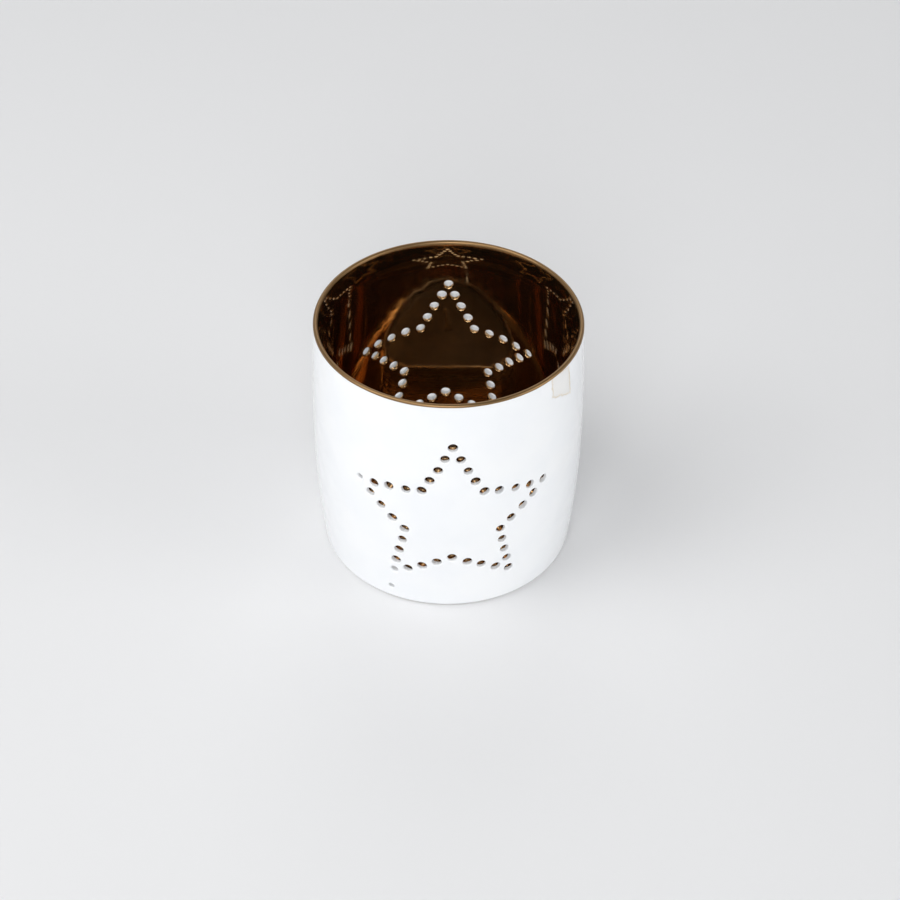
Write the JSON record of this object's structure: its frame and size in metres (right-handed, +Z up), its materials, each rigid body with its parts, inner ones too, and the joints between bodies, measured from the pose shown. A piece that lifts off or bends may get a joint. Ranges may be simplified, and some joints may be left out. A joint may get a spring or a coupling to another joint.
{
  "type": "tealight holder",
  "caption": "Barrel-shaped white porcelain tealight holder, gilt inside and over the lip, with punched stars front and back and a loose tealight on its floor.",
  "frame": {"origin": "on the cup's axis, at the plane that its foot ring stands on", "axes": "+Z up along the cup's axis, out of its mouth; -Y out of the middle of the front star; +X to the right when the front star is faced"},
  "size_m": [0.08, 0.08, 0.0791],
  "materials": {
    "white_porcelain": "gloss",
    "gold_lustre": "polished",
    "can_aluminium": "satin",
    "candle_wax": "satin",
    "wick_cotton": "matte",
    "sustainer_tinplate": "satin"
  },
  "bodies": {
    "holder": {"porcelain_cup": "white_porcelain", "gilt_lining": "gold_lustre"},
    "tealight": {"tealight_can": "can_aluminium", "tealight_wax": "candle_wax", "wick": "wick_cotton", "wick_sustainer": "sustainer_tinplate"}
  },
  "joints": [
    {"name": "tealight_lift", "type": "slide", "parent": "holder", "child": "tealight", "axis": [0, 0, 1], "range_m": [0, 0.085]}
  ]
}
